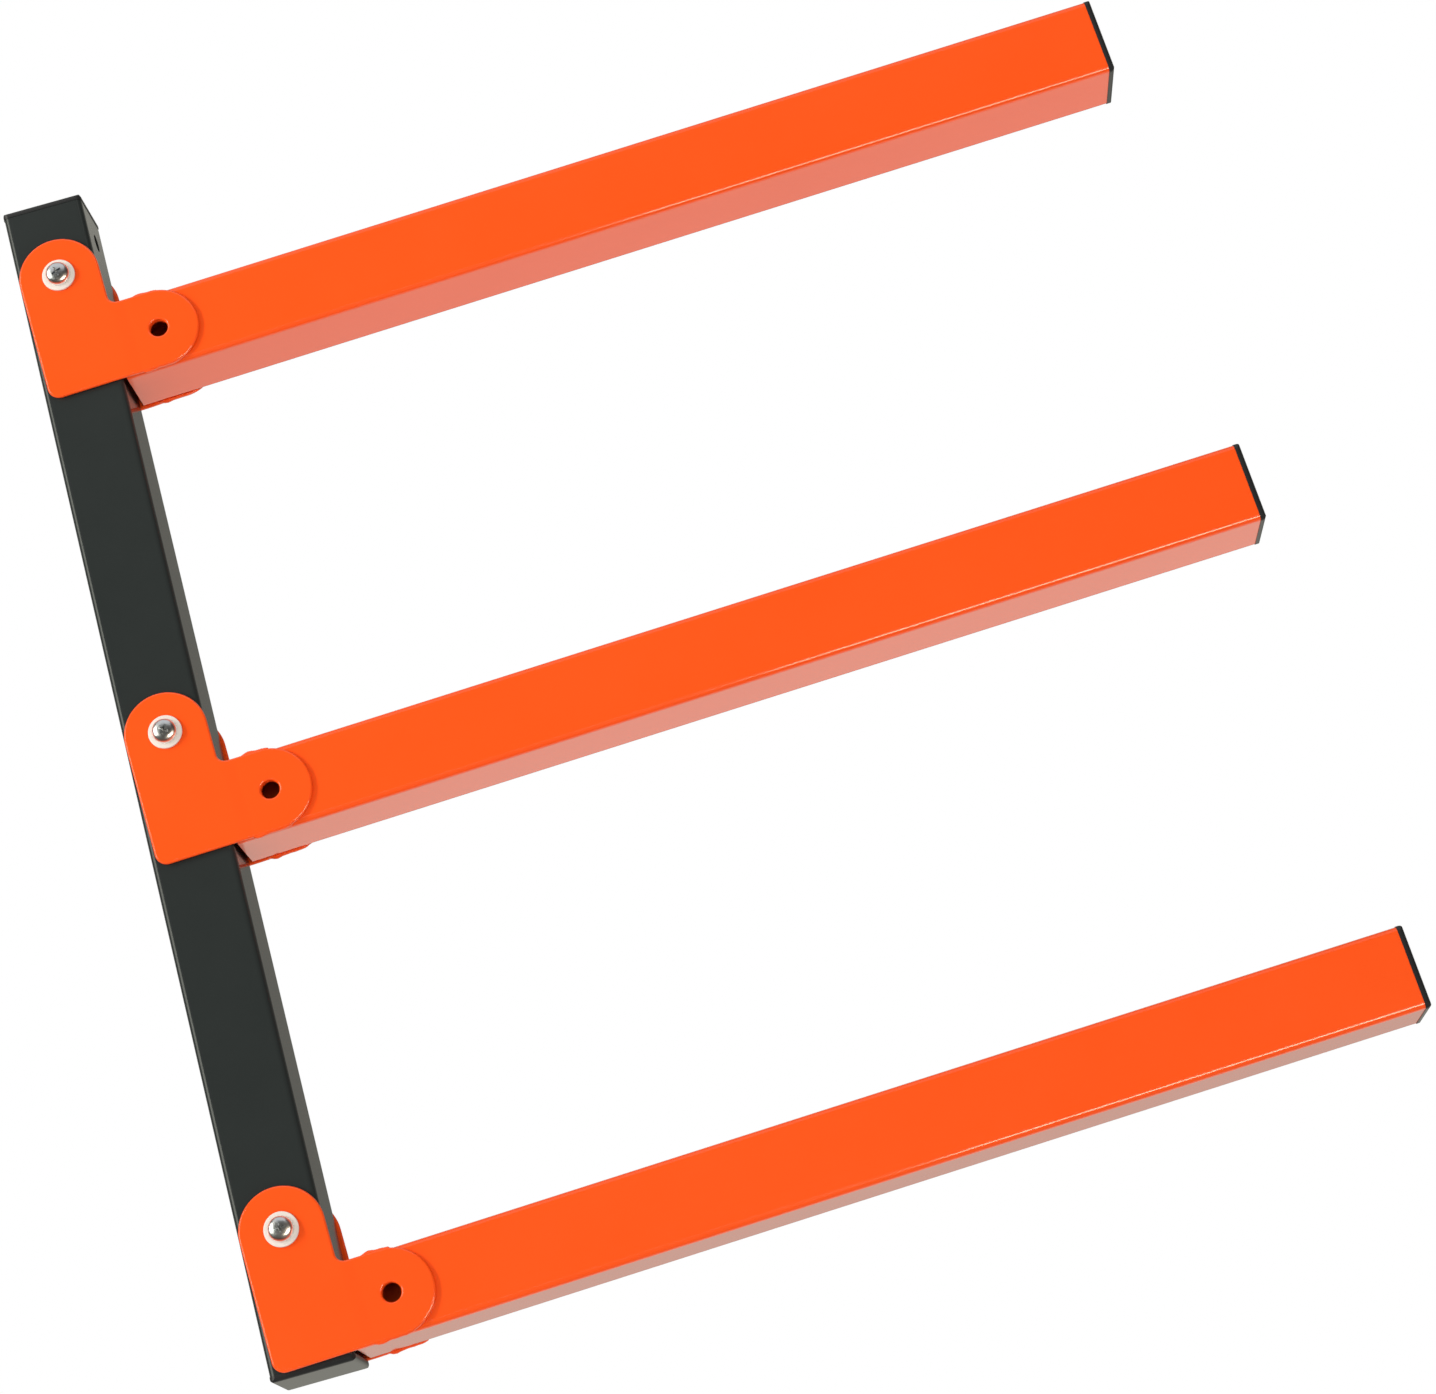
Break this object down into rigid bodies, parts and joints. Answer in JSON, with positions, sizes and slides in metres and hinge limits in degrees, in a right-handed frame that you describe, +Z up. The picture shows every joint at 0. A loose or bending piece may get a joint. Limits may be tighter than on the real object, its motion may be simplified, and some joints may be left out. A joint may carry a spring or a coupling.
{
  "type": "wall rack with folding arms",
  "caption": "Square steel wall post with square tube arms that fold up on bolted bracket plates, for storing boards and pipes.",
  "frame": {"origin": "middle of the two wall fixing holes, on the side of the post that lies against the wall", "axes": "+X away from the wall along the arms, +Y along the pivots from bolt head to nut, +Z up the post"},
  "size_m": [0.5547, 0.0646, 0.6],
  "materials": {
    "black_paint": "satin black powder coat",
    "orange_paint": "glossy orange powder coat",
    "cap_plastic": "black moulded plastic",
    "zinc_steel": "bright zinc plating",
    "nylon": "natural nylon"
  },
  "bodies": {
    "post": {"post_tube": "black_paint", "post_top_cap": "cap_plastic", "post_bottom_cap": "cap_plastic", "upper_pivot_bolt": "zinc_steel", "upper_head_washer": "nylon", "upper_tail_washer": "nylon", "upper_lock_nut": "zinc_steel", "middle_pivot_bolt": "zinc_steel", "middle_head_washer": "nylon", "middle_tail_washer": "nylon", "middle_lock_nut": "zinc_steel", "lower_pivot_bolt": "zinc_steel", "lower_head_washer": "nylon", "lower_tail_washer": "nylon", "lower_lock_nut": "zinc_steel"},
    "upper_arm": {"upper_arm_tube": "orange_paint", "upper_arm_cap": "cap_plastic", "upper_front_plate": "orange_paint", "upper_back_plate": "orange_paint", "upper_weld_beads": "orange_paint"},
    "middle_arm": {"middle_arm_tube": "orange_paint", "middle_arm_cap": "cap_plastic", "middle_front_plate": "orange_paint", "middle_back_plate": "orange_paint", "middle_weld_beads": "orange_paint"},
    "lower_arm": {"lower_arm_tube": "orange_paint", "lower_arm_cap": "cap_plastic", "lower_front_plate": "orange_paint", "lower_back_plate": "orange_paint", "lower_weld_beads": "orange_paint"}
  },
  "joints": [
    {"name": "upper_arm_fold", "type": "hinge", "parent": "post", "child": "upper_arm", "pos_m": [0.0212, 0, 0.2574], "axis": [0, -1, 0], "range_deg": [0, 78]},
    {"name": "middle_arm_fold", "type": "hinge", "parent": "post", "child": "middle_arm", "pos_m": [0.0212, 0, 0.0116], "axis": [0, -1, 0], "range_deg": [0, 78]},
    {"name": "lower_arm_fold", "type": "hinge", "parent": "post", "child": "lower_arm", "pos_m": [0.0212, 0, -0.2342], "axis": [0, -1, 0], "range_deg": [0, 78]}
  ],
  "couplings": [
    {"joint": "middle_arm_fold", "follows": "upper_arm_fold", "ratio": 1},
    {"joint": "lower_arm_fold", "follows": "upper_arm_fold", "ratio": 1}
  ]
}
